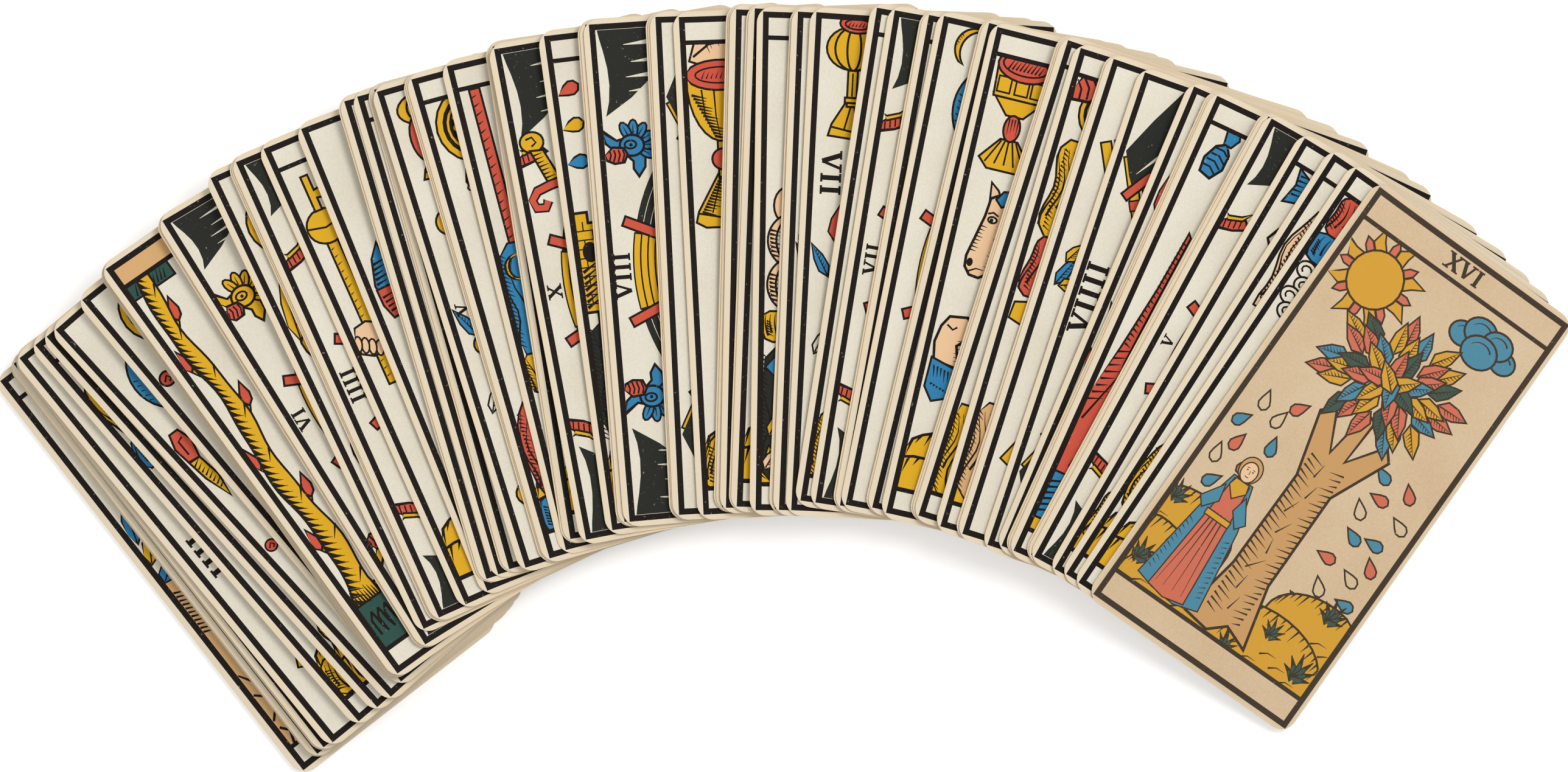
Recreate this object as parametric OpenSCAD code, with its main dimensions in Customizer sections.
// A tarot deck of 78 cards, spread face up in a wide fan on a table.
// The first card lies flat at the left end. Every later card lies with its left edge
// on the cards before it and its right edge on or near the table.

/* [Cards] */
// Width of a card
card_w = 61; // [55:1:66]
// Length of a card
card_l = 122; // [110:1:130]
// Thickness of the card stock
card_t = 0.3; // [0.2:0.02:0.36]
// Radius of a card's corners
corner_r = 4; // [2:0.5:8]
// Distance from a card's left edge to the middle of its printed frame line
frame_in = 2.2; // [1.5:0.1:4]

/* [Fan] */
// Distance from the fan's centre to the middle of its cards
fan_r = 225; // [215:1:250]
// How far the cards at the two ends have slipped in towards the centre
fan_slip = 10; // [0:1:14]
// Tilt of a card that lies on the cards before it
tilt = 10; // [8:0.5:12]
// Number of cards over which the tilt grows from flat
tilt_run = 12; // [4:1:16]
// Air between two cards that lie on each other
air = 0.06; // [0.06:0.01:0.12]
// Step to the right from the lower to the upper card of a pair
pair_step = 0.5; // [0.4:0.1:1.2]
// How far a card can be drawn out of the fan
draw = 125; // [60:5:130]

/* [Hidden] */
$fn = 48;

paper = [0.91, 0.88, 0.82];
tan_paper = [0.85, 0.75, 0.6];

// Radii of two rings round the fan's centre, near the outer and the inner ends of the cards.
outer_ring = 269;
inner_ring = 177;

// The packets in the order they were laid down, from left to right. Each row has a name,
// the places where the left frame line of its top card crosses the outer and the inner ring,
// in degrees to the right of straight up, and its number of cards, 2 where a card hides another.
deal = [
    ["coins_queen", -44.95, -48.65, 1],
    ["trump_00_and_01", -43.8, -46.9, 2],
    ["cups_03_and_04", -43.35, -46.15, 2],
    ["batons_04", -43.3, -45.45, 1],
    ["swords_page", -42.2, -43, 1],
    ["batons_queen", -41.45, -41.3, 1],
    ["coins_02", -40.85, -40.05, 1],
    ["coins_03", -38.9, -38.4, 1],
    ["swords_01_and_02", -37.2, -38.05, 2],
    ["batons_page", -37.15, -37.85, 1],
    ["cups_02_and_09", -33.6, -34.5, 2],
    ["swords_06", -33.55, -34.45, 1],
    ["coins_08", -30.65, -33.45, 1],
    ["trump_02_and_05", -29.3, -32, 2],
    ["swords_04", -29.2, -31.9, 1],
    ["trump_04", -27.65, -29.6, 1],
    ["swords_03", -25.6, -27.5, 1],
    ["batons_01_and_02", -23.35, -26.9, 2],
    ["coins_king", -22.65, -25.9, 1],
    ["cups_01_and_10", -21.75, -24.9, 2],
    ["cups_05", -21.55, -23.75, 1],
    ["cups_page_and_king", -19.85, -21.75, 2],
    ["coins_page", -19.75, -21.65, 1],
    ["trump_09", -17.95, -20.1, 1],
    ["trump_06_and_08", -15.75, -19.3, 2],
    ["swords_10", -15.6, -18.2, 1],
    ["trump_18", -13.15, -15.9, 1],
    ["batons_07_and_10", -11.2, -14.7, 2],
    ["swords_08", -11, -14.3, 1],
    ["coins_04_and_05", -7.8, -10.4, 2],
    ["batons_08", -7.7, -10.3, 1],
    ["cups_queen", -6.5, -8.4, 1],
    ["coins_07_and_09", -3.9, -6.7, 2],
    ["coins_06", -3.8, -6.4, 1],
    ["trump_11_and_13", -2.9, -5.5, 2],
    ["trump_15", -2.4, -4.1, 1],
    ["trump_10", -0.8, -2.5, 1],
    ["cups_06", -0.7, -2.2, 1],
    ["cups_07", 0.2, -1.2, 1],
    ["swords_knight", 2.9, -0.2, 1],
    ["swords_07", 3.8, 1, 1],
    ["trump_14_and_17", 5.5, 3, 2],
    ["swords_09", 6.2, 3.5, 1],
    ["coins_01_and_10", 8.4, 5.7, 2],
    ["cups_knight", 8.9, 6.8, 1],
    ["batons_03_and_king", 12.2, 9.4, 2],
    ["coins_knight", 12.3, 9.6, 1],
    ["trump_03", 13.1, 11.4, 1],
    ["batons_05", 14.7, 13.1, 1],
    ["batons_06", 14.8, 13.3, 1],
    ["batons_09", 16.5, 15.5, 1],
    ["cups_08", 18.9, 16.9, 1],
    ["swords_queen_and_king", 20, 17.8, 2],
    ["batons_knight", 20.1, 18, 1],
    ["trump_19_and_20", 22.7, 19.7, 2],
    ["swords_05", 22.9, 20, 1],
    ["trump_07", 24.8, 22, 1],
    ["trump_21", 26.4, 23.2, 1],
    ["trump_12", 27.7, 24.5, 1],
    ["trump_16", 29.2, 26.1, 1]
];

last_packet = len(deal) - 1;

// Directions in plan along a card that leans by an angle, and to its right.
function along(lean) = [sin(lean), cos(lean)];
function right(lean) = [cos(lean), -sin(lean)];

// The lean of a row's cards follows from the two points of its frame line, and their
// offset is the distance of a card's long axis to the right of the fan's centre.
function line_start(row) = inner_ring * along(row[2]);
function line_run(row) = outer_ring * along(row[1]) - line_start(row);
function row_lean(row) = atan2(line_run(row)[0], line_run(row)[1]);
function row_offset(row) = line_start(row) * right(row_lean(row)) + card_w / 2 - frame_in;

// One entry per card, from the first laid to the last: its packet, lean and offset.
cards = [
    for (i = [0 : last_packet])
        for (under = [deal[i][3] - 1 : -1 : 0])
            [i, row_lean(deal[i]), row_offset(deal[i]) - under * pair_step]
];
last_card = len(cards) - 1;

// The place of a card's middle round the fan, its distance from the fan's centre,
// and the middle itself in plan.
function place(k) = cards[k][1] + asin(cards[k][2] / fan_r);
function reach(k) = fan_r - fan_slip * pow(abs(place(k) / place(0)), 3);
function middle(k) =
    cards[k][2] * right(cards[k][1])
    + sqrt(pow(reach(k), 2) - pow(cards[k][2], 2)) * along(cards[k][1]);

// The tilt grows from nothing at the first card.
function roll(k) = tilt * min(1, k / tilt_run);

// Distance of a point in plan to the left of a card's right edge.
function inset(k, p) = card_w / 2 - (p - middle(k)) * right(cards[k][1]);

// Corners in plan of the strip that a card covers while it is drawn out.
function strip(k) = [
    for (s = [-1, 1])
        for (e = [-card_l / 2, card_l / 2 + draw])
            middle(k) + s * card_w / 2 * right(cards[k][1]) + e * along(cards[k][1])
];

// The least distance by which the next card's right edge lies beyond this card's.
function advance(k) = min([for (p = concat(strip(k), strip(k + 1))) inset(k + 1, p) - inset(k, p)]);

// Height of the next card's right edge: it clears this card, and never goes under the table.
function next_lift(k, h) = max(0, h + (card_t + air) / cos(roll(k + 1)) - tan(roll(k)) * advance(k));

lift = [
    for (k = 0, h = 0; k <= last_card; h = k < last_card ? next_lift(k, h) : 0, k = k + 1) h
];

// Directions of a tilted card: to its right, along it, and out of its face.
function right3(k) = concat(cos(roll(k)) * right(cards[k][1]), -sin(roll(k)));
function along3(k) = concat(along(cards[k][1]), 0);
function out3(k) = concat(sin(roll(k)) * right(cards[k][1]), cos(roll(k)));

// Middle of a card's right edge, on its underside.
function right_edge(k) = concat(middle(k) + card_w / 2 * right(cards[k][1]), lift[k]);

// Middle of a card, and how far it reaches from there along the x axis (0) or the y axis (1).
function centre3(k) = right_edge(k) - card_w / 2 * right3(k) + card_t / 2 * out3(k);
function half_size(k, axis) =
    (card_w / 2 - corner_r) * abs(right3(k)[axis])
    + (card_l / 2 - corner_r) * abs(along3(k)[axis])
    + corner_r * norm([right3(k)[axis], along3(k)[axis]])
    + card_t / 2 * abs(out3(k)[axis]);
function low(axis) = min([for (k = [0 : last_card]) centre3(k)[axis] - half_size(k, axis)]);
function high(axis) = max([for (k = [0 : last_card]) centre3(k)[axis] + half_size(k, axis)]);

// The origin is on the table, under the middle of the fan's outline.
origin = [(low(0) + high(0)) / 2, (low(1) + high(1)) / 2, 0];

// A card with its right edge on the y axis and its back on the xy plane.
module card() {
    translate([-card_w / 2, 0, 0])
        linear_extrude(card_t)
            union() {
                square([card_w - 2 * corner_r, card_l], center = true);
                square([card_w, card_l - 2 * corner_r], center = true);
                for (sx = [-1, 1])
                    for (sy = [-1, 1])
                        translate([sx * (card_w / 2 - corner_r), sy * (card_l / 2 - corner_r)])
                            circle(corner_r);
            }
}

// All cards of one packet, in their places.
module packet(i) {
    color(i == last_packet ? tan_paper : paper)
        for (k = [0 : last_card])
            if (cards[k][0] == i)
                translate(right_edge(k) - origin)
                    rotate([0, roll(k), -cards[k][1]])
                        card();
}

for (i = [0 : last_packet])
    packet(i);
